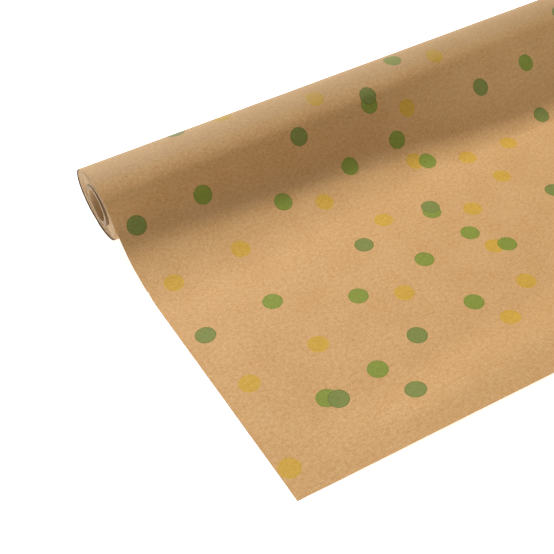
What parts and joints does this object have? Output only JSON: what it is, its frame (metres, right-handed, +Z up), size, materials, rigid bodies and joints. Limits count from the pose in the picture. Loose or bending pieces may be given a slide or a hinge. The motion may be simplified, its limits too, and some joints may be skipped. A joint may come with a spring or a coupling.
{
  "type": "wrapping paper roll",
  "caption": "Roll of dotted brown kraft wrapping paper on an open board core, with the paper drawn off the top of the roll and laid out flat in front of it.",
  "frame": {"origin": "centre of the core's bore, half way along the roll; the table is one roll radius (42.5 mm) below it", "axes": "+X along the roll and its bore, -Y towards the cut end of the drawn sheet, +Z up from the table"},
  "size_m": [0.7, 0.4995, 0.085],
  "materials": {
    "liner_board": "matte",
    "grey_board": "matte",
    "brown_board": "matte",
    "tape": "satin",
    "kraft_paper": "matte",
    "printed_kraft": "matte"
  },
  "bodies": {
    "sheet": {"drawn_sheet": "printed_kraft", "outer_turn": "printed_kraft"},
    "roll": {"core_liner": "liner_board", "core_board": "grey_board", "core_jacket": "brown_board", "start_tape": "tape", "wound_paper": "kraft_paper"}
  },
  "joints": [
    {"name": "roll_turn", "type": "hinge", "parent": "sheet", "child": "roll", "pos_m": [0, 0, 0], "axis": [1, 0, 0], "continuous": true}
  ]
}
